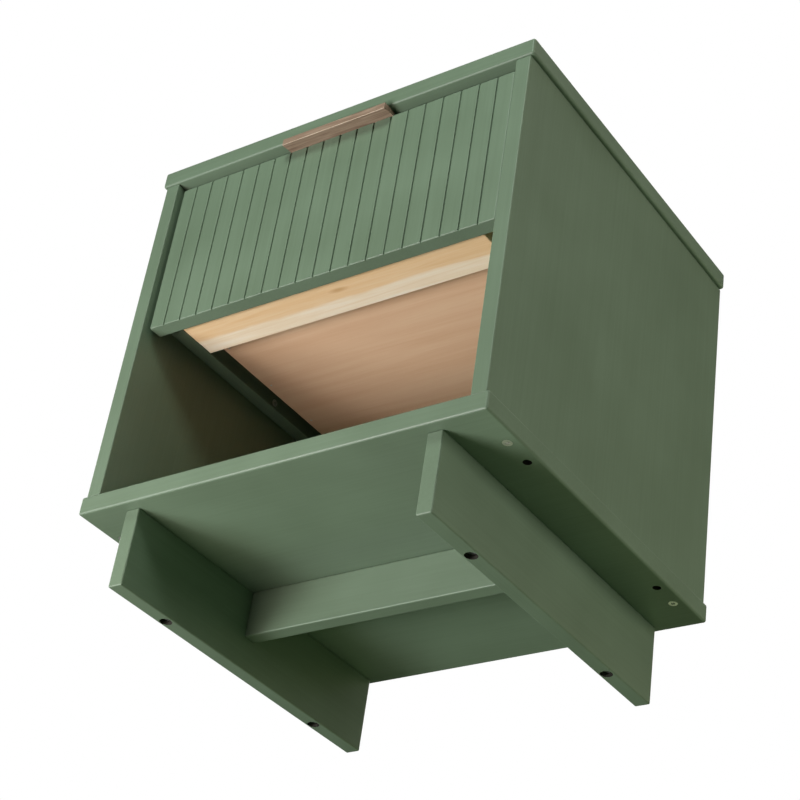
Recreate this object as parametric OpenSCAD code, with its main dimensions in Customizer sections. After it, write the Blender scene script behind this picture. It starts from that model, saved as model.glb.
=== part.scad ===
// Bedside cabinet with one grooved drawer over an open shelf, on two plank feet.
// Millimetres. +Z is up, the front faces -Y, and the origin is on the floor under the
// middle of the bounding box, with the drawer pull counted in.

/* [Cabinet] */
// Width of the top and bottom panels
cabinet_w = 450; // [430:5:500]
// Depth of the top and bottom panels
cabinet_d = 390; // [388:1:410]
// Clear height between the top and bottom panels
inner_h = 377; // [365:1:420]
// Thickness of the top and bottom panels
slab_t = 19; // [18:1:25]
// Thickness of the side panels, feet, stretcher and runner boards
board_t = 16; // [15:1:18]
// How far the top and bottom panels stand out past each side panel
side_overhang = 4; // [2:1:8]
// How far the side panels sit behind the front edge of the top panel
front_setback = 2; // [1:1:6]
// Thickness of the back panel
back_t = 5; // [3:1:6]
// How far the back panel is let into the boards round it
groove_d = 5.5; // [4:0.5:6]

/* [Feet] */
// Height of the two plank feet
foot_h = 80; // [70:5:100]
// Length of each foot, front to back
foot_l = 370; // [340:5:370]
// Distance between the outer faces of the feet
foot_spread = 350; // [320:5:370]
// How far the feet sit behind the front edge of the bottom panel
foot_setback = 12; // [8:1:20]
// Height of the stretcher between the feet
stretcher_h = 48; // [30:2:60]
// Distance from the front edge of the bottom panel to the stretcher
stretcher_setback = 182; // [150:1:200]

/* [Drawer] */
// Height of the drawer front
front_h = 177; // [165:1:180]
// Thickness of the drawer front
front_t = 16; // [15:1:18]
// Gap between the drawer front and the side panels
front_gap = 4; // [3:0.5:5]
// Gap between the drawer front and the top panel
top_gap = 6.5; // [6:0.5:8]
// How far the drawer front sits behind the front edge of the top panel
front_recess = 8; // [6:1:12]
// Spacing of the upright grooves
groove_pitch = 20.3; // [18:0.1:21]
// Number of upright grooves
groove_count = 19; // [15:2:19]
// Width of a groove at the face
groove_w = 2; // [1.5:0.1:3]
// Depth of a groove
groove_cut = 1.3; // [1:0.1:3]
// Height of the drawer box above its bottom sheet
box_h = 110; // [90:5:115]
// Length of the drawer box, front to back
box_l = 348; // [345:1:350]
// Thickness of the drawer box sides
box_t = 12; // [10:1:14]
// Thickness of the drawer bottom sheet
bottom_t = 5; // [4:1:6]
// Width of the pine batten under the front of the drawer
batten_w = 48; // [40:2:60]
// How far the drawer opens
drawer_travel = 340; // [300:5:340]

/* [Pull] */
// Width of the wooden pull
pull_w = 124; // [100:2:160]
// Thickness of the pull
pull_t = 5.5; // [4:0.5:5.5]
// How far the pull stands out past the top panel
pull_proud = 6; // [4:1:10]
// How far the pull's front lip hangs down
pull_lip = 2.2; // [0:0.1:3]

/* [Slides] */
// Length of the ball-bearing slides
slide_l = 350; // [350]
// Width of a closed slide, cabinet board to drawer side
slide_w = 12.7; // [12.7]
// Thickness of the slide's steel strip
steel_t = 1.2; // [1:0.1:1.2]

/* [Hidden] */
$fn = 48;
side_in = cabinet_w / 2 - side_overhang - board_t;
side_mid = side_in + board_t / 2;
front_y = -(cabinet_d - pull_proud) / 2;
back_y = front_y + cabinet_d;
base_top = foot_h + slab_t;
top_under = base_top + inner_h;
total_h = top_under + slab_t;
// Back panel, in its groove
back_inset = 14;
back_front_y = back_y - back_inset;
// Drawer
face_y = front_y + front_recess;
face_back_y = face_y + front_t;
face_top = top_under - top_gap;
face_bottom = face_top - front_h;
face_half = side_in - front_gap;
runner_in = side_in - board_t;
box_half = runner_in - slide_w;
batten_lift = 5.5;
batten_z = face_bottom + batten_lift;
bottom_z = batten_z + board_t;
box_z = bottom_z + bottom_t;
box_back_y = face_back_y + box_l;
// Slides and the boards that carry them: slide_z is the middle of the slides' height
slide_z = box_z + 36;
slide_y = face_back_y + 1;
runner_h = 75;
runner_z = slide_z - 46;
runner_y = slide_y + 3;
runner_back_y = slide_y + slide_l - 1;
// Half heights of the three nested channels
outer_half = 22.7;
middle_half = 18.7;
inner_half = 14.7;
// Lips that keep the balls in, and the gap between the channels' webs
lip = 0.9;
web_gap = 0.5;
ball_r = 1.15;
ball_count = 10;
cage_l = slide_l - drawer_travel / 2;
cage_y = slide_y + drawer_travel / 4;
cage_w = 4;
cage_t = 0.8;
// Feet
foot_y = front_y + foot_setback;
foot_mid = foot_spread / 2 - board_t / 2;
foot_in = foot_spread / 2 - board_t;
stretcher_y = front_y + stretcher_setback;
// Fastener stations, measured back from the front edge of the top and bottom panels
screw_stations = [51, 345];
dowel_stations = [83, 313];
bolt_stations = [84, 313];
slide_screw_stations = [35, 165, 315];
board_screw_stations = [60, 190, 330];
// Slack round a fastener in its hole
slack = 0.1;
// Connector screws up through the bottom panel, 7 mm in diameter
base_screw_r = 3.5;
base_screw_head_r = 4.5;
base_screw_head = 3.5;
base_screw_l = 50;
// Cabinet dowels, and how deep they reach into the side panels and the top panel
dowel_r = 4;
dowel_recess = 8;
dowel_in_side = 20;
dowel_in_top = 10;
// Cam discs in the side panels, and the bolts that they pull on
cam_r = 7.4;
cam_drop = 34;
cam_deep = 12.5;
cam_bolt_r = 3;
cam_bolt_in_top = 11;
// Foot bolts, head set up inside the foot, and the threaded inserts that take them
bolt_seat = 8;
bolt_head = 3.5;
bolt_head_r = 5.5;
bolt_l = 83.5;
bolt_r = 3;
insert_l = 13;
insert_r = 5;
// Small dowels at the drawer's corners, wood screws, slide screws and brads
box_dowel_r = 3;
wood_screw_r = 2;
wood_screw_head_r = 4;
slide_screw_r = 1.75;
slide_screw_head_r = 3.2;
pull_screw_head_r = 3.4;
brad_r = 0.6;
brad_head_r = 1.1;
brad_l = 22;

// ---- Shared shapes ----

// A board given by its lowest and highest corners.
module board(low, high) translate(low) cube(high - low);

// A round bar or hole along X, Y or Z, from a point, in the direction of the axis.
module bar_z(at, r, l) translate(at) cylinder(r = r, h = l);
module bar_y(at, r, l) translate(at) rotate([-90, 0, 0]) cylinder(r = r, h = l);
module bar_x(at, r, l) translate(at) rotate([0, 90, 0]) cylinder(r = r, h = l);

// Copies onto both sides of the cabinet.
module both_sides() {
    children();
    mirror([1, 0, 0]) children();
}

// A screw pointing up from its head's outer face, with a cross or hex recess.
// head: 0 is countersunk, 1 is flat-bottomed.
module screw(r, head_r, head_h, l, flat = 0, recess_r = 1.6) {
    difference() {
        union() {
            if (flat) cylinder(r = head_r, h = head_h);
            else cylinder(r1 = head_r, r2 = r, h = head_h);
            cylinder(r = r, h = l);
        }
        translate([0, 0, -1]) cylinder(r = recess_r, h = 1 + head_h * 0.6, $fn = 6);
    }
}

// The hole that such a screw sits in.
module screw_hole(r, head_r, head_h, l, flat = 0) {
    if (flat) translate([0, 0, -1]) cylinder(r = head_r + slack, h = head_h + 1 + slack);
    else translate([0, 0, -slack]) cylinder(r1 = head_r + 2 * slack, r2 = r + slack, h = head_h + slack);
    translate([0, 0, -1]) cylinder(r = r + slack, h = l + 1 + slack);
}

// ---- Where the fasteners sit ----

module at_base_screws() both_sides() for (s = screw_stations)
    translate([side_mid, front_y + s, foot_h]) children();
module at_base_dowels() both_sides() for (s = dowel_stations)
    translate([side_mid, front_y + s, foot_h]) children();
module at_cams() both_sides() for (s = screw_stations)
    translate([side_mid, front_y + s, top_under]) children();
module at_top_dowels() both_sides() for (s = dowel_stations)
    translate([side_mid, front_y + s, top_under]) children();
module at_foot_bolts() both_sides() for (s = bolt_stations)
    translate([foot_mid, front_y + s, 0]) children();
module at_stretcher_dowels() both_sides() for (z = [14, 34])
    translate([foot_in, stretcher_y + board_t / 2, foot_h - z]) children();
module at_runner_screws() both_sides() for (s = board_screw_stations) for (z = [7, runner_h - 7])
    translate([runner_in, front_y + s, runner_z + z]) rotate([0, 90, 0]) children();
module at_slide_cabinet_screws() both_sides() for (s = slide_screw_stations)
    translate([runner_in - steel_t - web_gap / 2, slide_y + s, slide_z]) rotate([0, 90, 0]) children();
module at_slide_drawer_screws() both_sides() for (s = slide_screw_stations)
    translate([box_half + steel_t + 1, slide_y + s, slide_z]) rotate([0, -90, 0]) children();
module at_front_screws() both_sides() for (z = [25, 85])
    translate([120, face_back_y + box_t, box_z + z]) rotate([90, 0, 0]) children();
module at_pull_screws() both_sides()
    translate([pull_w / 2 - 16, face_y + front_t / 2, face_top + pull_t]) rotate([180, 0, 0]) children();
module at_drawer_dowels() both_sides() for (y = [face_back_y, box_back_y - box_t]) for (z = [28, 82])
    translate([box_half - box_t, y + box_t / 2, box_z + z]) children();
module at_brads() both_sides() for (y = [90, 160, 230, 300, 340])
    translate([box_half - box_t / 2, front_y + y, bottom_z]) children();

// ---- Cabinet boards ----

module top_panel() color("#738B76") difference() {
    board([-cabinet_w / 2, front_y, top_under], [cabinet_w / 2, back_y, total_h]);
    at_cams() bar_z([0, 0, -1], cam_bolt_r + slack, 1 + cam_bolt_in_top + slack);
    at_top_dowels() bar_z([0, 0, -1], dowel_r + slack, 1 + dowel_in_top + 1);
    back_groove();
}

module bottom_panel() color("#738B76") difference() {
    board([-cabinet_w / 2, front_y, foot_h], [cabinet_w / 2, back_y, base_top]);
    at_base_screws() screw_hole(base_screw_r, base_screw_head_r, base_screw_head, base_screw_l, 1);
    at_base_dowels() bar_z([0, 0, -1], dowel_r + slack, slab_t + 2);
    at_foot_bolts() bar_z([0, 0, foot_h - 1], insert_r + slack, insert_l + 1 + slack);
    back_groove();
}

// The slot that the back panel is let into, through all four boards round it.
module back_groove() board(
    [-side_in - groove_d - slack, back_front_y - slack, base_top - groove_d - slack],
    [side_in + groove_d + slack, back_front_y + back_t + slack, top_under + groove_d + slack]);

module side_panel() color("#4F6149") difference() {
    board([side_in, front_y + front_setback, base_top], [side_in + board_t, back_y, top_under]);
    for (s = screw_stations) {
        bar_z([side_mid, front_y + s, base_top - 1], base_screw_r + slack, base_screw_l - slab_t + 1 + slack);
        bar_z([side_mid, front_y + s, top_under - cam_drop], cam_bolt_r + 0.6, cam_drop + 1);
        bar_x([side_in - 1, front_y + s, top_under - cam_drop], cam_r + slack, cam_deep + 1 + slack);
    }
    for (s = dowel_stations) {
        bar_z([side_mid, front_y + s, base_top - 1], dowel_r + slack, 1 + dowel_in_side + slack);
        bar_z([side_mid, front_y + s, top_under - dowel_in_side], dowel_r + slack, dowel_in_side + 1);
    }
    at_runner_screws() bar_z([0, 0, board_t - 1], wood_screw_r + slack, 13);
    back_groove();
}
module left_side_panel() mirror([1, 0, 0]) side_panel();
module right_side_panel() side_panel();

module back_panel() color("#5A6E5A") board(
    [-side_in - groove_d, back_front_y, base_top - groove_d],
    [side_in + groove_d, back_front_y + back_t, top_under + groove_d]);

// Boards that pack the slides out to the width of the drawer box.
module runner_board() color("#4B5D44") difference() {
    board([runner_in, runner_y, runner_z], [side_in, runner_back_y, runner_z + runner_h]);
    at_runner_screws() screw_hole(wood_screw_r, wood_screw_head_r, 2.2, 28);
    for (s = slide_screw_stations) bar_x([runner_in - 1, slide_y + s, slide_z], slide_screw_r + slack, 13);
}
module left_runner_board() mirror([1, 0, 0]) runner_board();
module right_runner_board() runner_board();

// ---- Feet ----

module foot() color("#64795F") difference() {
    board([foot_in, foot_y, 0], [foot_in + board_t, foot_y + foot_l, foot_h]);
    for (s = bolt_stations) {
        bar_z([foot_mid, front_y + s, -1], bolt_head_r + 0.6, bolt_seat + 1);
        bar_z([foot_mid, front_y + s, -1], bolt_r + 0.25, foot_h + 2);
    }
    at_stretcher_dowels() bar_x([-1, 0, 0], dowel_r + slack, 13);
}
module left_foot() mirror([1, 0, 0]) foot();
module right_foot() foot();

module stretcher() color("#64795F") difference() {
    board([-foot_in, stretcher_y, foot_h - stretcher_h], [foot_in, stretcher_y + board_t, foot_h]);
    at_stretcher_dowels() bar_x([-18, 0, 0], dowel_r + slack, 19);
}

// ---- Drawer ----

module drawer_front() color("#7B9180") difference() {
    board([-face_half, face_y, face_bottom], [face_half, face_back_y, face_top]);
    for (i = [0:groove_count - 1]) {
        x = (i - (groove_count - 1) / 2) * groove_pitch;
        board([x - groove_w / 2, face_y - 1, face_bottom - 1],
              [x + groove_w / 2, face_y + groove_cut, face_top + 1]);
    }
    at_front_screws() bar_z([0, 0, -1], wood_screw_r + slack, 24);
    at_pull_screws() screw_hole(slide_screw_r, pull_screw_head_r, 1.9, 20);
}

// Drawn from its side: flat on the drawer front's top edge, then down to a lip for the fingers.
module drawer_pull() color("#94806C") difference() {
    translate([pull_w / 2, 0, face_top]) rotate([90, 0, -90]) linear_extrude(height = pull_w)
        polygon([[-face_back_y, 0], [-face_back_y, pull_t], [pull_proud - front_y, pull_t],
                 [pull_proud - front_y, -pull_lip], [-face_y, 0]]);
    at_pull_screws() screw_hole(slide_screw_r, pull_screw_head_r, 1.9, 20);
}

module drawer_box_front() color("#DCC29A") difference() {
    board([-box_half + box_t, face_back_y, box_z],
          [box_half - box_t, face_back_y + box_t, box_z + box_h]);
    at_front_screws() bar_z([0, 0, -1], wood_screw_r + slack, box_t + 2);
    at_drawer_dowels() bar_x([-13, 0, 0], box_dowel_r + slack, 14);
}

module drawer_side() color("#DCC29A") difference() {
    board([box_half - box_t, face_back_y, box_z], [box_half, box_back_y, box_z + box_h]);
    at_drawer_dowels() bar_x([-1, 0, 0], box_dowel_r + slack, 10);
    for (s = slide_screw_stations) bar_x([box_half - 9, slide_y + s, slide_z], slide_screw_r + slack, 10);
    at_brads() bar_z([0, 0, 0], brad_r + slack, brad_l + slack);
}
module drawer_left_side() mirror([1, 0, 0]) drawer_side();
module drawer_right_side() drawer_side();

module drawer_back() color("#DCC29A") difference() {
    board([-box_half + box_t, box_back_y - box_t, box_z],
          [box_half - box_t, box_back_y, box_z + box_h]);
    at_drawer_dowels() bar_x([-13, 0, 0], box_dowel_r + slack, 14);
}

module drawer_bottom() color("#B8967A") difference() {
    board([-box_half, face_back_y, bottom_z], [box_half, box_back_y, box_z]);
    at_brads() bar_z([0, 0, -1], brad_r + slack, bottom_t + 2);
    at_brads() bar_z([0, 0, -1], brad_head_r + slack, 1.6 + slack);
}

module drawer_front_batten() color("#E2C6A2") board(
    [-box_half, face_back_y, batten_z], [box_half, face_back_y + batten_w, bottom_z]);

// ---- Slides: three nested steel channels a side, with caged balls between them ----

// Sections are drawn with x out from the cabinet board towards the drawer, and y as height.
function both_halves(upper) = concat(upper, [for (i = [len(upper) - 1:-1:0]) [upper[i][0], -upper[i][1]]]);

module slide_bar(section, y, l) translate([runner_in, y + l, slide_z]) rotate([90, 0, 0])
    linear_extrude(height = l) mirror([1, 0]) polygon(both_halves(section));

outer_reach = 10;
middle_web = steel_t + web_gap;
middle_reach = 10.2;
inner_reach = 3.6;
outer_section = [[steel_t, outer_half - steel_t], [outer_reach - steel_t, outer_half - steel_t],
                 [outer_reach - steel_t, outer_half - steel_t - lip],
                 [outer_reach, outer_half - steel_t - lip], [outer_reach, outer_half], [0, outer_half]];
middle_section = [[middle_web + steel_t, middle_half - steel_t], [middle_reach, middle_half - steel_t],
                  [middle_reach, middle_half + lip], [middle_reach - steel_t, middle_half + lip],
                  [middle_reach - steel_t, middle_half], [middle_web, middle_half]];
inner_section = [[slide_w - steel_t, inner_half - steel_t], [inner_reach, inner_half - steel_t],
                 [inner_reach, inner_half], [slide_w, inner_half]];

module slide_holes(x, r) for (s = slide_screw_stations)
    bar_x([x - 3, slide_y + s, slide_z], r, 6);

module outer_slide() color("#B9BDC0") difference() {
    slide_bar(outer_section, slide_y, slide_l);
    slide_holes(runner_in, slide_screw_r + slack);
}
// The middle channel's windows let a screwdriver through to the cabinet screws.
module middle_slide() color("#C3C7CA") difference() {
    slide_bar(middle_section, slide_y, slide_l);
    slide_holes(runner_in - middle_web, 5.5);
}
module inner_slide() color("#B9BDC0") difference() {
    slide_bar(inner_section, slide_y, slide_l);
    slide_holes(runner_in - slide_w, slide_screw_r + slack);
}

// Two thin strips with a row of balls in each, at height z above and below the middle.
module ball_cage(x, z) color("#8F9498") for (side = [-1, 1])
        translate([runner_in - x, cage_y, slide_z + side * z]) {
    board([-cage_w / 2, 0, -cage_t / 2], [cage_w / 2, cage_l, cage_t / 2]);
    for (i = [0:ball_count - 1]) translate([0, cage_l * (i + 0.5) / ball_count, 0])
        sphere(r = ball_r, $fn = 24);
}
module outer_ball_cage() ball_cage(5.5, (outer_half - steel_t + middle_half) / 2);
module inner_ball_cage() ball_cage(6.4, (middle_half - steel_t + inner_half) / 2);

module left_outer_slide() mirror([1, 0, 0]) outer_slide();
module right_outer_slide() outer_slide();
module left_middle_slide() mirror([1, 0, 0]) middle_slide();
module right_middle_slide() middle_slide();
module left_inner_slide() mirror([1, 0, 0]) inner_slide();
module right_inner_slide() inner_slide();
module left_outer_ball_cage() mirror([1, 0, 0]) outer_ball_cage();
module right_outer_ball_cage() outer_ball_cage();
module left_inner_ball_cage() mirror([1, 0, 0]) inner_ball_cage();
module right_inner_ball_cage() inner_ball_cage();

// ---- Fasteners ----

// One-piece connector screws, up through the bottom panel into the side panels.
module base_screws() color("#C9C9C4") at_base_screws()
    screw(base_screw_r, base_screw_head_r, base_screw_head, base_screw_l, 1, 2.2);
// Beech dowels in the open holes beside them, set back inside the bottom panel.
module base_dowels() color("#B58D5E") at_base_dowels()
    bar_z([0, 0, dowel_recess], dowel_r, slab_t - dowel_recess + dowel_in_side);
module top_dowels() color("#B58D5E") at_top_dowels()
    bar_z([0, 0, -dowel_in_side], dowel_r, dowel_in_side + dowel_in_top);
// Headed bolts screwed up into the top panel, and the discs that draw them down.
module cam_bolts() color("#C9C9C4") at_cams() {
    bar_z([0, 0, -cam_drop + cam_r + 0.2], cam_bolt_r, cam_drop - cam_r - 0.2 + cam_bolt_in_top);
    bar_z([0, 0, -cam_drop + cam_r + 0.2], cam_bolt_r + 0.4, 3);
}
module cam_discs() color("#A9ADB0") at_cams() difference() {
    bar_x([-board_t / 2 + 0.3, 0, -cam_drop], cam_r, cam_deep - 0.3);
    board([-board_t / 2 - 1, -4.5, -cam_drop - 0.8], [-board_t / 2 + 2.5, 4.5, -cam_drop + 0.8]);
}
// Socket-head bolts up through each foot, and the brass inserts in the bottom panel.
module foot_bolts() color("#B4B6B4") at_foot_bolts() translate([0, 0, bolt_seat - bolt_head])
    screw(bolt_r, bolt_head_r, bolt_head, bolt_l, 1, 2.4);
module foot_inserts() color("#C2A15A") at_foot_bolts() difference() {
    bar_z([0, 0, foot_h], insert_r, insert_l);
    bar_z([0, 0, foot_h - 1], bolt_r + slack, insert_l + 2);
}
module stretcher_dowels() color("#B58D5E") at_stretcher_dowels() bar_x([-17, 0, 0], dowel_r, 28);
// Countersunk wood screws through the runner boards into the side panels.
module runner_board_screws() color("#C9C9C4") at_runner_screws()
    screw(wood_screw_r, wood_screw_head_r, 2.2, 27);
// Thin-headed screws that clear the middle channel's web, and pan-headed ones into the drawer.
module slide_cabinet_screws() color("#C9C9C4") at_slide_cabinet_screws()
    screw(slide_screw_r, slide_screw_head_r, web_gap / 2, 13, 1, 0.9);
module slide_drawer_screws() color("#C9C9C4") at_slide_drawer_screws()
    screw(slide_screw_r, slide_screw_head_r, 1, 11, 1, 1.2);
// From inside the drawer box, forward into the drawer front.
module drawer_front_screws() color("#C9C9C4") at_front_screws() translate([0, 0, -2])
    screw(wood_screw_r, wood_screw_head_r, 2, 24, 1, 1.6);
module pull_screws() color("#B9A36A") at_pull_screws()
    screw(slide_screw_r, pull_screw_head_r, 1.9, 19, 0, 1.1);
module drawer_dowels() color("#B58D5E") at_drawer_dowels() bar_x([-12, 0, 0], box_dowel_r, 20);
module bottom_brads() color("#C9C9C4") at_brads() {
    bar_z([0, 0, 0], brad_head_r, brad_r);
    bar_z([0, 0, 0], brad_r, brad_l);
}

top_panel();
bottom_panel();
left_side_panel();
right_side_panel();
back_panel();
left_runner_board();
right_runner_board();
left_foot();
right_foot();
stretcher();
drawer_front();
drawer_pull();
drawer_box_front();
drawer_left_side();
drawer_right_side();
drawer_back();
drawer_bottom();
drawer_front_batten();
left_outer_slide();
left_middle_slide();
left_inner_slide();
right_outer_slide();
right_middle_slide();
right_inner_slide();
left_outer_ball_cage();
left_inner_ball_cage();
right_outer_ball_cage();
right_inner_ball_cage();
base_screws();
base_dowels();
cam_bolts();
cam_discs();
top_dowels();
foot_bolts();
foot_inserts();
stretcher_dowels();
runner_board_screws();
slide_cabinet_screws();
slide_drawer_screws();
drawer_front_screws();
pull_screws();
drawer_dowels();
bottom_brads();
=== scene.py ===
import math

import bmesh
import bpy
from mathutils import Matrix, Vector


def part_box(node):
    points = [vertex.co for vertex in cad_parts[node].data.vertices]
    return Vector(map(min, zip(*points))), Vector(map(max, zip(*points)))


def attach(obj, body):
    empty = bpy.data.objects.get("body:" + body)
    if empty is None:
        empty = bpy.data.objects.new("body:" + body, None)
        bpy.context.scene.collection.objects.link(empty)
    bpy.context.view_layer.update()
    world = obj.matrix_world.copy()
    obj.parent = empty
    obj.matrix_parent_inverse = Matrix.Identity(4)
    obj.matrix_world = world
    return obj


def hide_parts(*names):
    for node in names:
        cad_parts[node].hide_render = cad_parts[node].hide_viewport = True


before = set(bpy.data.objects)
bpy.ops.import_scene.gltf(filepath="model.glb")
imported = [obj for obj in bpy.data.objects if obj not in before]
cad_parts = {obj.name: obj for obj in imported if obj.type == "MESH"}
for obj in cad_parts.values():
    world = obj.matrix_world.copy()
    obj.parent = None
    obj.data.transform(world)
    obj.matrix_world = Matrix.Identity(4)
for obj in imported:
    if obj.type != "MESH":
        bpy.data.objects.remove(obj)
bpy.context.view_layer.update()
mm = 0.001

# ---- Top panel ----
# A solid pine board, 19 mm thick, sprayed in satin sage lacquer. Its edges are rounded over with a
# router, and hidden cam bolts and dowels hold it down on the side panels. The lacquer has a soft, even
# shine, and the grain under it still shows as faint ridges.
slab_rounding = 2.5 * mm
lacquer_dark, lacquer_light = "#657761", "#6E816B"


def feed(node, inputs):
    """Sets a node's inputs, or links them where the value is another node's output."""
    for name, value in inputs.items():
        if isinstance(value, bpy.types.NodeSocket):
            node.id_data.links.new(value, node.inputs[name])
        else:
            node.inputs[name].default_value = value


def add(owner, kind, inputs=None, **settings):
    """Adds one node to a material or a world, with its settings and inputs."""
    node = owner.node_tree.nodes.new("ShaderNode" + kind)
    for name, value in settings.items():
        setattr(node, name, value)
    feed(node, inputs or {})
    return node


def srgb(code):
    """Turns an sRGB hex colour into the linear values that a shader takes."""
    parts = [int(code[i:i + 2], 16) / 255 for i in (1, 3, 5)]
    return (*[c / 12.92 if c <= 0.04045 else ((c + 0.055) / 1.055) ** 2.4 for c in parts], 1)


def new_material(name):
    """A new material, and its shader."""
    material = bpy.data.materials.new(name)
    material.use_nodes = True
    return material, material.node_tree.nodes["Principled BSDF"]


def lacquer(name, grain):
    """Satin sage lacquer on pine. The grain is a direction, with 1 along it."""
    material, shader = new_material(name)
    place = add(material, "TexCoord").outputs["Object"]
    # Ridges 2.5 mm wide and 160 mm long, and slow drifts of tone 90 mm across
    ridge = Vector([1 / (160 * mm) if along else 1 / (2.5 * mm) for along in grain])
    ridges = add(material, "TexNoise", {
        "Vector": add(material, "Mapping", {"Vector": place, "Scale": ridge}).outputs["Vector"],
        "Scale": 1, "Detail": 3, "Roughness": 0.6})
    drift = add(material, "TexNoise", {"Vector": place, "Scale": 1 / (90 * mm), "Detail": 2})
    # Orange peel of the spray coat, drawn 1.2 mm across so that it shows
    peel = add(material, "TexNoise", {"Vector": place, "Scale": 1 / (1.2 * mm), "Detail": 1})
    # The tone takes 4 parts from the ridges and 6 from the drifts
    drifted = add(material, "Math", {0: drift.outputs["Fac"], 1: 0.6}, operation="MULTIPLY")
    tone = add(material, "Math", {0: ridges.outputs["Fac"], 1: 0.4, 2: drifted.outputs[0]},
               operation="MULTIPLY_ADD")
    colour = add(material, "ValToRGB", {"Fac": tone.outputs[0]})
    ramp = colour.color_ramp.elements
    ramp[0].position, ramp[0].color = 0.35, srgb(lacquer_dark)
    ramp[1].position, ramp[1].color = 0.65, srgb(lacquer_light)
    # The orange peel is a quarter as high as the ridges
    height = add(material, "Math", {0: peel.outputs["Fac"], 1: 0.25, 2: ridges.outputs["Fac"]},
                 operation="MULTIPLY_ADD")
    bump = add(material, "Bump", {"Height": height.outputs[0], "Strength": 0.35, "Distance": 0.06 * mm})
    sheen = add(material, "MapRange", {"Value": drift.outputs["Fac"], "To Min": 0.42, "To Max": 0.52})
    feed(shader, {"Base Color": colour.outputs["Color"], "Normal": bump.outputs["Normal"],
                  "Roughness": sheen.outputs["Result"], "IOR": 1.5})
    return material


lacquer_across = lacquer("sage_lacquer_grain_across", (1, 0, 0))
lacquer_back = lacquer("sage_lacquer_grain_front_to_back", (0, 1, 0))
lacquer_up = lacquer("sage_lacquer_grain_upright", (0, 0, 1))


def rounded_box(low, high, radius):
    """A box with every edge rounded over."""
    bm = bmesh.new()
    bmesh.ops.create_cube(bm, size=1)
    bmesh.ops.scale(bm, vec=high - low, verts=bm.verts)
    bmesh.ops.translate(bm, vec=(low + high) / 2, verts=bm.verts)
    bmesh.ops.bevel(bm, geom=bm.edges[:], offset=radius, affect="EDGES", segments=5, profile=0.5,
                    material=-1)
    return bm


def shade(mesh):
    """Makes a mesh smooth over its roundings and sharp at its corners."""
    mesh.shade_smooth()
    mesh.set_sharp_from_angle(angle=math.radians(35))


def new_object(name, bm, material):
    """Turns a bmesh into an object of one material, at the origin."""
    mesh = bpy.data.meshes.new(name)
    bm.to_mesh(mesh)
    bm.free()
    mesh.materials.append(material)
    shade(mesh)
    thing = bpy.data.objects.new(name, mesh)
    bpy.context.scene.collection.objects.link(thing)
    return thing


def fit(piece, body, node):
    """Evens out a piece's shading, says what it rides on, and hides the node it stands for."""
    piece.modifiers.new("even_shading", "WEIGHTED_NORMAL").keep_sharp = True
    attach(piece, body)
    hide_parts(node)


def machined(node):
    """A copy of a CAD node, holes and grooves included, with its triangles joined into whole faces."""
    same_point, flat = 0.002 * mm, math.radians(1)
    bm = bmesh.new()
    bm.from_mesh(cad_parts[node].data)
    bmesh.ops.remove_doubles(bm, verts=bm.verts, dist=same_point)
    bmesh.ops.dissolve_limit(bm, angle_limit=flat, verts=bm.verts, edges=bm.edges)
    return bm


def shaped(name, node, radius, material, bm=None):
    """A node's machined board, or a bmesh made from it, cut down to a box with rounded edges."""
    # The box stands a hair outside the board, so that no face of one lies on a face of the other
    hair = Vector((1, 1, 1)) * 0.01 * mm
    low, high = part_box(node)
    blank = new_object(name, bm or machined(node), material)
    mould = new_object("mould", rounded_box(low - hair, high + hair, radius), material)
    cut = blank.modifiers.new("rounding", "BOOLEAN")
    cut.operation, cut.solver, cut.object = "INTERSECT", "EXACT", mould
    view = blank.evaluated_get(bpy.context.evaluated_depsgraph_get())
    blank.data = bpy.data.meshes.new_from_object(view)
    blank.modifiers.clear()
    bpy.data.objects.remove(mould)
    shade(blank.data)
    return blank


fit(shaped("top_board", "top_panel", slab_rounding, lacquer_across), "cabinet", "top_panel")

# ---- Bottom panel ----
# The same board as the top panel, drilled from below for the connector screws, the dowels and the
# inserts that the feet bolt to. The walls of the open dowel holes are painted near-black, dull and
# blotchy, as painted shade inside the holes.
dowel_radius = 4 * mm
# Near-black colours for the hole walls: painted shade, not the colour of the wood
bore_shade_dark, bore_shade_light = "#15140F", "#2A261C"
painted_bore_shade, bore_shade_shader = new_material("painted_shade_on_bore_walls")
bore_place = add(painted_bore_shade, "TexCoord").outputs["Object"]
# Blotches 1.5 mm across in the painted shade
shade_blotches = add(painted_bore_shade, "TexNoise", {"Vector": bore_place, "Scale": 1 / (1.5 * mm), "Detail": 2})
blotched_shade = add(painted_bore_shade, "ValToRGB", {"Fac": shade_blotches.outputs["Fac"]})
blotched_shade.color_ramp.elements[0].color = srgb(bore_shade_dark)
blotched_shade.color_ramp.elements[1].color = srgb(bore_shade_light)
feed(bore_shade_shader, {"Base Color": blotched_shade.outputs["Color"], "Roughness": 0.9})


def bored(piece, fasteners, shank, bore, top):
    """Paints the walls of the four upright holes round a node's fasteners, up to a height, near-black as
    painted shade. Shank is the fasteners' radius at its widest, and bore is a radius that just takes in
    the walls."""
    low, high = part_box(fasteners)
    piece.data.materials.append(painted_bore_shade)
    for face in piece.data.polygons:
        x, y, z = face.center
        from_middle = min(math.hypot(x - a, y - b) for a in (low.x + shank, high.x - shank)
                          for b in (low.y + shank, high.y - shank))
        is_wall = abs(face.normal.z) < 0.5
        if is_wall and z < top and from_middle < bore:
            # This wall takes the near-black painted shade
            face.material_index = 1


base_board = shaped("bottom_board", "bottom_panel", slab_rounding, lacquer_across)
bored(base_board, "base_dowels", dowel_radius, dowel_radius + 0.3 * mm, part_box("bottom_panel")[1].z)
fit(base_board, "cabinet", "bottom_panel")

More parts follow.
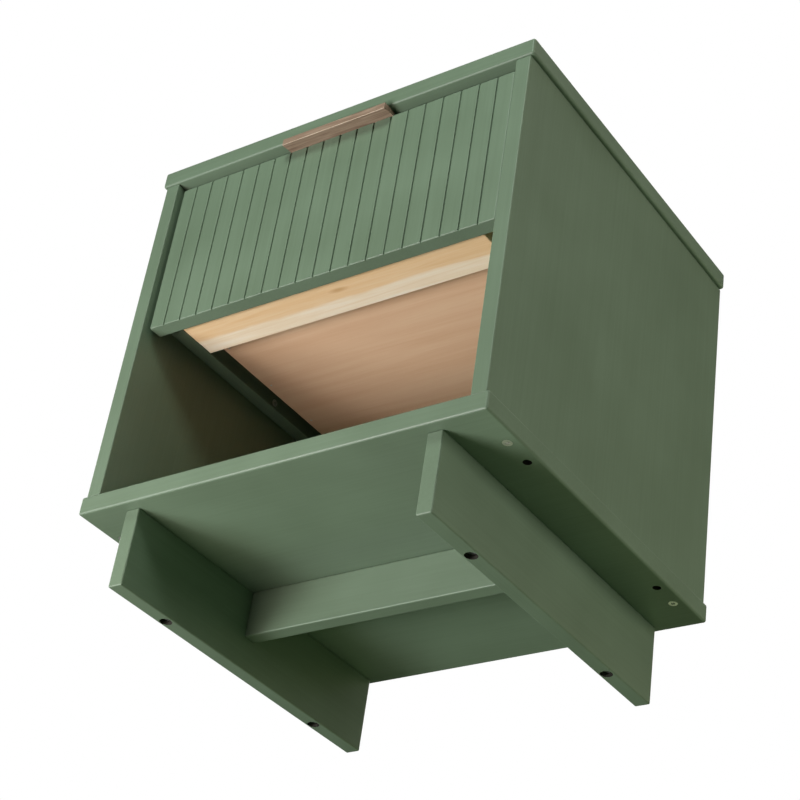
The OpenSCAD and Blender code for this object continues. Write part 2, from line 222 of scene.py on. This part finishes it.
# ---- Side panels ----
# Boards 16 mm thick with an upright grain, rounded less than the panels above and below them. Each is
# bored inside for the cam discs, and grooved behind for the back panel.
board_rounding = 1.2 * mm
for side in ("left", "right"):
    fit(shaped(side + "_side_board", side + "_side_panel", board_rounding, lacquer_up), "cabinet",
        side + "_side_panel")

# ---- Back panel ----
# A thin lacquered sheet, slid into the groove round it before the top goes on. Its edges are left
# nearly sharp.
sheet_rounding = 0.4 * mm
fit(shaped("back_sheet", "back_panel", sheet_rounding, lacquer_up), "cabinet", "back_panel")

# ---- Runner boards ----
# Boards screwed inside the side panels to pack the drawer slides out, lacquered with the cabinet.
runner_rounding = 1 * mm
for side in ("left", "right"):
    fit(shaped(side + "_runner", side + "_runner_board", runner_rounding, lacquer_back), "cabinet",
        side + "_runner_board")

# ---- Feet and stretcher ----
# Planks on edge, one under each side, with a narrower plank dowelled between them. Each foot is
# counterbored from below for the two bolts that hold it up against the bottom panel, and the walls of
# the counterbores are painted near-black as painted shade.
foot_rounding = 1.5 * mm
bolt_head_radius = 5.5 * mm
bolt_seat = 8 * mm
for side in ("left", "right"):
    foot = shaped(side + "_plank_foot", side + "_foot", foot_rounding, lacquer_back)
    bored(foot, "foot_bolts", bolt_head_radius, bolt_head_radius + 0.9 * mm, bolt_seat)
    fit(foot, "cabinet", side + "_foot")
fit(shaped("stretcher_plank", "stretcher", foot_rounding, lacquer_across), "cabinet",
    "stretcher")

# ---- Drawer front ----
# A 16 mm board with upright grooves routed at 20.3 mm centres, so that it looks like narrow boards
# side by side. The grooves run out through its top and bottom edges, and their lips are sanded.
groove_lip = 0.45 * mm
front_rounding = 1.5 * mm
tolerance = 0.01 * mm
front_low, front_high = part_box("drawer_front")
front_board = machined("drawer_front")
# The lips are the upright edges on the board's face, without the two at its ends
lips = [edge for edge in front_board.edges
        if all(abs(corner.co.y - front_low.y) < tolerance for corner in edge.verts)
        and abs(edge.verts[0].co.x - edge.verts[1].co.x) < tolerance
        and abs(edge.verts[0].co.x) < front_high.x - 1 * mm]
bmesh.ops.bevel(front_board, geom=lips, offset=groove_lip, affect="EDGES", segments=3, profile=0.5,
                material=-1)
fit(shaped("grooved_front", "drawer_front", front_rounding, lacquer_up, front_board), "drawer",
    "drawer_front")

# ---- Pull ----
# A thin strip of oiled walnut, screwed down on the drawer front's top edge through its thickness. Its
# front stands out past the top panel as a lip. The oil gives it a low shine. The lip's lower edge is
# painted paler and is smoother: partly wear from fingers, partly a painted highlight along the edge.
walnut_colours = ("#7B6453", "#8F7866", "#A08A77")
wear_and_highlight_colours = ("#B29C87", "#BFAA95", "#CBB7A3")
pull_rounding = 0.7 * mm


def wood(name, grain, colours, ring, fleck, rough):
    """Bare planed wood. Rings are the broad bands of a plain-sawn face, flecks are its fine pores. Both
    are given by their width, and the grain is a direction with 1 along it."""
    material, shader = new_material(name)
    place = add(material, "TexCoord").outputs["Object"]
    # Along the grain a ring is 18 times as long as it is wide, and a fleck 30 times
    ring_scale = Vector([1 / (ring * 18) if along else 1 / ring for along in grain])
    fleck_scale = Vector([1 / (fleck * 30) if along else 1 / fleck for along in grain])
    rings = add(material, "TexNoise", {
        "Vector": add(material, "Mapping", {"Vector": place, "Scale": ring_scale}).outputs["Vector"],
        "Scale": 1, "Detail": 2, "Roughness": 0.5, "Distortion": 0.6})
    flecks = add(material, "TexNoise", {
        "Vector": add(material, "Mapping", {"Vector": place, "Scale": fleck_scale}).outputs["Vector"],
        "Scale": 1, "Detail": 3, "Roughness": 0.7})
    # The tone takes 7 parts from the rings and 3 from the flecks
    flecked = add(material, "Math", {0: flecks.outputs["Fac"], 1: 0.3}, operation="MULTIPLY")
    tone = add(material, "Math", {0: rings.outputs["Fac"], 1: 0.7, 2: flecked.outputs[0]},
               operation="MULTIPLY_ADD")
    colour = add(material, "ValToRGB", {"Fac": tone.outputs[0]})
    ramp = colour.color_ramp.elements
    ramp[0].position, ramp[0].color = 0.36, srgb(colours[0])
    ramp[1].position, ramp[1].color = 0.64, srgb(colours[-1])
    ramp.new(0.5).color = srgb(colours[1])
    bump = add(material, "Bump", {"Height": flecks.outputs["Fac"], "Strength": 0.4,
                                  "Distance": 0.05 * mm})
    feed(shader, {"Base Color": colour.outputs["Color"], "Normal": bump.outputs["Normal"],
                  "Roughness": rough, "IOR": 1.45})
    return material


walnut = wood("oiled_walnut", (1, 0, 0), walnut_colours, 2.2 * mm, 0.6 * mm, 0.5)
walnut_wear_and_highlight = wood("walnut_wear_and_highlight", (1, 0, 0), wear_and_highlight_colours, 2.2 * mm, 0.6 * mm, 0.45)
pull = shaped("walnut_pull", "drawer_pull", pull_rounding, walnut)
pull.data.materials.append(walnut_wear_and_highlight)
for face in pull.data.polygons:
    # Paler where it faces forwards and down at once: wear, and a painted highlight along the edge
    out = face.normal
    face.material_index = int(out.y < -0.3 and out.z < -0.3)
fit(pull, "drawer", "drawer_pull")

# ---- Drawer box ----
# Four planed pine boards, 12 mm thick, dowelled at the corners. The sides run the full length, and the
# front and the back fit between them. The pine is bare and dull, and its grain runs along each board.
box_rounding = 0.8 * mm
pine_colours = ("#E0C299", "#E6CDA6", "#EBD6B4")
pine_across = wood("planed_pine_across", (1, 0, 0), pine_colours, 7 * mm, 0.9 * mm, 0.6)
pine_back = wood("planed_pine_front_to_back", (0, 1, 0), pine_colours, 7 * mm, 0.9 * mm, 0.6)
for node, pine in (("drawer_box_front", pine_across), ("drawer_back", pine_across),
                   ("drawer_left_side", pine_back), ("drawer_right_side", pine_back)):
    fit(shaped(node + "_board", node, box_rounding, pine), "drawer", node)

# ---- Drawer bottom ----
# A 5 mm sheet of brown birch plywood, tacked up under the box with brads. Its face veneer is bare, with
# a broad, faint grain across the drawer.
ply_rounding = 0.3 * mm
ply_colours = ("#DFB591", "#E3BB98", "#E7C29F")
birch_ply = wood("birch_plywood", (1, 0, 0), ply_colours, 14 * mm, 1.4 * mm, 0.62)
fit(shaped("plywood_bottom", "drawer_bottom", ply_rounding, birch_ply), "drawer",
    "drawer_bottom")

# ---- Front batten ----
# A pine strip glued under the plywood, behind the drawer front, to stiffen it. It is plain-sawn, with
# one small knot, and a darker, yellower band painted along its front as shade from the drawer front.
batten_rounding = 0.7 * mm
batten_colours = ("#F4DEBE", "#F9E6CA", "#FCEED8")
front_shade_tint, knot_colour = "#F5E1C6", "#B98448"
batten_low, batten_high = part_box("drawer_front_batten")
batten_pine = wood("batten_pine", (1, 0, 0), batten_colours, 5 * mm, 0.9 * mm, 0.6)
batten_shader = batten_pine.node_tree.nodes["Principled BSDF"]
unshaded_pine = batten_shader.inputs["Base Color"].links[0].from_socket
batten_place = add(batten_pine, "TexCoord").outputs["Object"]
# The painted shade's edge wanders by up to 7 mm about a line 29 mm behind the strip's front
front_shade_width, wander_width = 29 * mm, 14 * mm
wander_scale = Vector((1 / (80 * mm), 1 / (30 * mm), 0))
wander = add(batten_pine, "TexNoise", {
    "Vector": add(batten_pine, "Mapping", {"Vector": batten_place, "Scale": wander_scale}).outputs[0],
    "Scale": 1, "Detail": 3})
depth = add(batten_pine, "SeparateXYZ", {"Vector": batten_place}).outputs["Y"]
wandered = add(batten_pine, "Math", {0: wander.outputs["Fac"], 1: wander_width, 2: depth},
               operation="MULTIPLY_ADD")
front_shade_edge = batten_low.y + front_shade_width + wander_width / 2
edge_blur = 2 * mm
in_front_shade = add(batten_pine, "MapRange", {
    "Value": wandered.outputs[0], "From Min": front_shade_edge - edge_blur,
    "From Max": front_shade_edge + edge_blur, "To Min": 1, "To Max": 0})
# Darker and yellower towards the front: painted shade from the drawer front
front_shaded = add(batten_pine, "MixRGB", {
    "Fac": in_front_shade.outputs["Result"], "Color1": unshaded_pine, "Color2": srgb(front_shade_tint)},
    blend_type="MULTIPLY")
# The knot is drawn out along the grain
knot_place = Vector((5.6, -151.7, 0)) * mm
knot_shape = Vector((0.3, 1, 0))
from_knot = add(batten_pine, "VectorMath", {
    0: add(batten_pine, "Mapping", {"Vector": batten_place, "Scale": knot_shape}).outputs[0],
    1: knot_place * knot_shape}, operation="DISTANCE")
in_knot = add(batten_pine, "MapRange", {
    "Value": from_knot.outputs["Value"], "From Min": 1 * mm, "From Max": 4 * mm,
    "To Min": 0.5, "To Max": 0})
knotted = add(batten_pine, "MixRGB", {
    "Fac": in_knot.outputs["Result"], "Color1": front_shaded.outputs["Color"], "Color2": srgb(knot_colour)})
feed(batten_shader, {"Base Color": knotted.outputs["Color"]})
batten = new_object("pine_batten", rounded_box(batten_low, batten_high, batten_rounding), batten_pine)
fit(batten, "drawer", "drawer_front_batten")

# ---- Steel, brass and beech ----
# The slides are rolled from zinc-plated strip, their cages hold polished balls, and the screws, bolts,
# cams, inserts and dowels are bought in. All keep the shapes of their CAD nodes. The plating is grey
# and hazy, the polished balls and the turned brass are brighter, and the beech is bare.
beech_colours = ("#A97F52", "#B58D5E", "#C19C6E")


def metal(name, code, rough, stretch=(1, 1, 1)):
    """Plated or turned metal. A stretch below 1 draws its fine marks out along that axis."""
    material, shader = new_material(name)
    place = add(material, "TexCoord").outputs["Object"]
    marks_place = add(material, "Mapping", {"Vector": place, "Scale": stretch}).outputs["Vector"]
    # Marks 0.8 mm across, coarser than the real ones so that they show
    marks = add(material, "TexNoise", {"Vector": marks_place, "Scale": 1 / (0.8 * mm), "Detail": 3})
    spread = add(material, "MapRange", {"Value": marks.outputs["Fac"], "To Min": rough - 0.06,
                                        "To Max": rough + 0.1})
    tone = add(material, "ValToRGB", {"Fac": marks.outputs["Fac"]})
    ramp = tone.color_ramp.elements
    bright = srgb(code)
    dull = (*[c * 0.85 for c in bright[:3]], 1)
    ramp[0].position, ramp[0].color = 0.3, dull
    ramp[1].position, ramp[1].color = 0.7, bright
    bump = add(material, "Bump", {"Height": marks.outputs["Fac"], "Strength": 0.15,
                                  "Distance": 0.02 * mm})
    feed(shader, {"Base Color": tone.outputs["Color"], "Roughness": spread.outputs["Result"],
                  "Normal": bump.outputs["Normal"], "Metallic": 1})
    return material


zinc_strip = metal("zinc_plated_strip", "#D3D6D8", 0.48, (1, 0.04, 1))
polished_steel = metal("polished_ball_steel", "#C4C7C9", 0.2)
zinc_screw = metal("zinc_plated_screw", "#E6E6E0", 0.5)
cast_zinc = metal("die_cast_zinc", "#BFC2C4", 0.5)
zinc_bolt = metal("zinc_plated_bolt", "#E2E4E2", 0.5)
turned_brass = metal("turned_brass", "#C2A15A", 0.28)
beech = wood("turned_beech", (0, 0, 1), beech_colours, 1.6 * mm, 0.5 * mm, 0.6)
finishes = {
    zinc_strip: [f"{side}_{part}_slide" for side in ("left", "right")
                 for part in ("outer", "middle", "inner")],
    polished_steel: [f"{side}_{part}_ball_cage" for side in ("left", "right")
                     for part in ("outer", "inner")],
    zinc_screw: ["base_screws", "cam_bolts", "runner_board_screws", "slide_cabinet_screws",
                 "slide_drawer_screws", "drawer_front_screws", "bottom_brads"],
    cast_zinc: ["cam_discs"],
    zinc_bolt: ["foot_bolts"],
    turned_brass: ["foot_inserts", "pull_screws"],
    beech: ["base_dowels", "top_dowels", "stretcher_dowels", "drawer_dowels"]}
for material, nodes in finishes.items():
    for node in nodes:
        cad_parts[node].data.materials.clear()
        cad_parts[node].data.materials.append(material)

# ---- Studio ----
# A pale floor that the feet stand on. It shows from above and is clear from below. It glows a little, so
# that it stays pale far away, takes the object's shadow, and gives the object no light.
floor_half_width = 6
floor_drop = 0.5 * mm
floor_bm = bmesh.new()
bmesh.ops.create_grid(floor_bm, x_segments=1, y_segments=1, size=floor_half_width)
bmesh.ops.translate(floor_bm, vec=(0, 0, -floor_drop), verts=floor_bm.verts)
pale_floor, floor_shader = new_material("pale_floor")
feed(floor_shader, {"Base Color": srgb("#969694"), "Emission Color": srgb("#E9E9E6"),
                    "Emission Strength": 0.8, "Roughness": 0.9})
one_way = add(pale_floor, "MixShader", {
    0: add(pale_floor, "NewGeometry").outputs["Backfacing"],
    1: floor_shader.outputs["BSDF"],
    2: add(pale_floor, "BsdfTransparent").outputs["BSDF"]})
feed(pale_floor.node_tree.nodes["Material Output"], {"Surface": one_way.outputs["Shader"]})
floor = new_object("floor", floor_bm, pale_floor)
floor.visible_diffuse = floor.visible_glossy = floor.visible_shadow = False

# White all round as the background, and a dim even light on the object
backdrop_colour, ambient_colour = (1, 1, 1, 1), (0.03, 0.03, 0.03, 1)
world = bpy.data.worlds.new("studio")
bpy.context.scene.world = world
world.use_nodes = True
ambient = world.node_tree.nodes["Background"]
feed(ambient, {"Color": ambient_colour})
seen_or_shining = add(world, "MixShader", {
    0: add(world, "LightPath").outputs["Is Camera Ray"],
    1: ambient.outputs["Background"],
    2: add(world, "Background", {"Color": backdrop_colour}).outputs["Background"]})
feed(world.node_tree.nodes["World Output"], {"Surface": seen_or_shining.outputs["Shader"]})

# Soft boxes: each shines at the middle of the cabinet
middle = Vector((0, 0, 0.25))


def soft_box(name, direction, distance, size, watts, tint):
    """A square soft box, out in a direction from the middle of the cabinet, turned to face it."""
    lamp = bpy.data.lights.new(name, "AREA")
    lamp.size, lamp.energy, lamp.color = size, watts, tint
    stand = bpy.data.objects.new(name, lamp)
    bpy.context.scene.collection.objects.link(stand)
    out = Vector(direction).normalized()
    stand.location = middle + out * distance
    stand.rotation_euler = out.to_track_quat("Z", "Y").to_euler()


white = (1, 1, 1)
# Each one's direction, its distance and its width in metres, its power, and its tint
soft_box("front_below", (-0.49, -0.7, -0.52), 2.2, 0.9, 34, (0.92, 0.98, 1))
soft_box("front_above", (0.3, -1, 0.75), 1.4, 0.4, 8.5, (0.9, 1, 0.92))
soft_box("low_reflector", (-0.32, -0.85, -0.6), 1.09, 0.4, 5.8, (1, 0.88, 0.84))
soft_box("right", (1, 0, 0), 2.2, 1, 17.5, (1, 0.95, 0.92))
soft_box("right_above", (0.7, 0, 0.7), 2.2, 1, 4.5, (1, 0.8, 0.7))
soft_box("right_back", (0.7, 0.7, 0), 2.2, 1, 2.6, (1, 1, 0.4))
soft_box("right_below", (0.7, 0, -0.7), 2.2, 1, 3, (0.6, 1, 0.5))
soft_box("back_below", (0, 0.7, -0.7), 2.2, 1, 4, (0.8, 1, 0.5))
# These three light the top, the left side and the back, none of which shows from below at the front
soft_box("overhead", (0, 0.2, 1), 2.2, 1.2, 34, white)
soft_box("left", (-1, 0, 0.3), 2.2, 1.2, 20, white)
soft_box("back", (-0.2, 1, 0.3), 2.2, 1.2, 22, white)

# ---- Camera ----
# Low down at the cabinet's front right, looking up at it, with a slight roll.
camera_azimuth = math.radians(37.602)
camera_rise = math.radians(33.221)
camera_roll = math.radians(8.168)
camera_distance = 1.870
aim = Vector((0.0401, 0.0012, 0.2423))
camera = bpy.data.cameras.new("camera")
camera.lens = 87.0
camera.shift_x, camera.shift_y = -0.0625, 0.0188
camera.clip_end = 50
tripod = bpy.data.objects.new("camera", camera)
bpy.context.scene.collection.objects.link(tripod)
look = Vector((-math.sin(camera_azimuth) * math.cos(camera_rise),
               math.cos(camera_azimuth) * math.cos(camera_rise), math.sin(camera_rise)))
level = look.to_track_quat("-Z", "Y").to_matrix().to_4x4()
tripod.matrix_world = (Matrix.Translation(aim - look * camera_distance) @ level
                       @ Matrix.Rotation(camera_roll, 4, "Z"))
bpy.context.scene.camera = tripod
bpy.context.scene.view_settings.view_transform = "Standard"

bpy.context.view_layer.update()
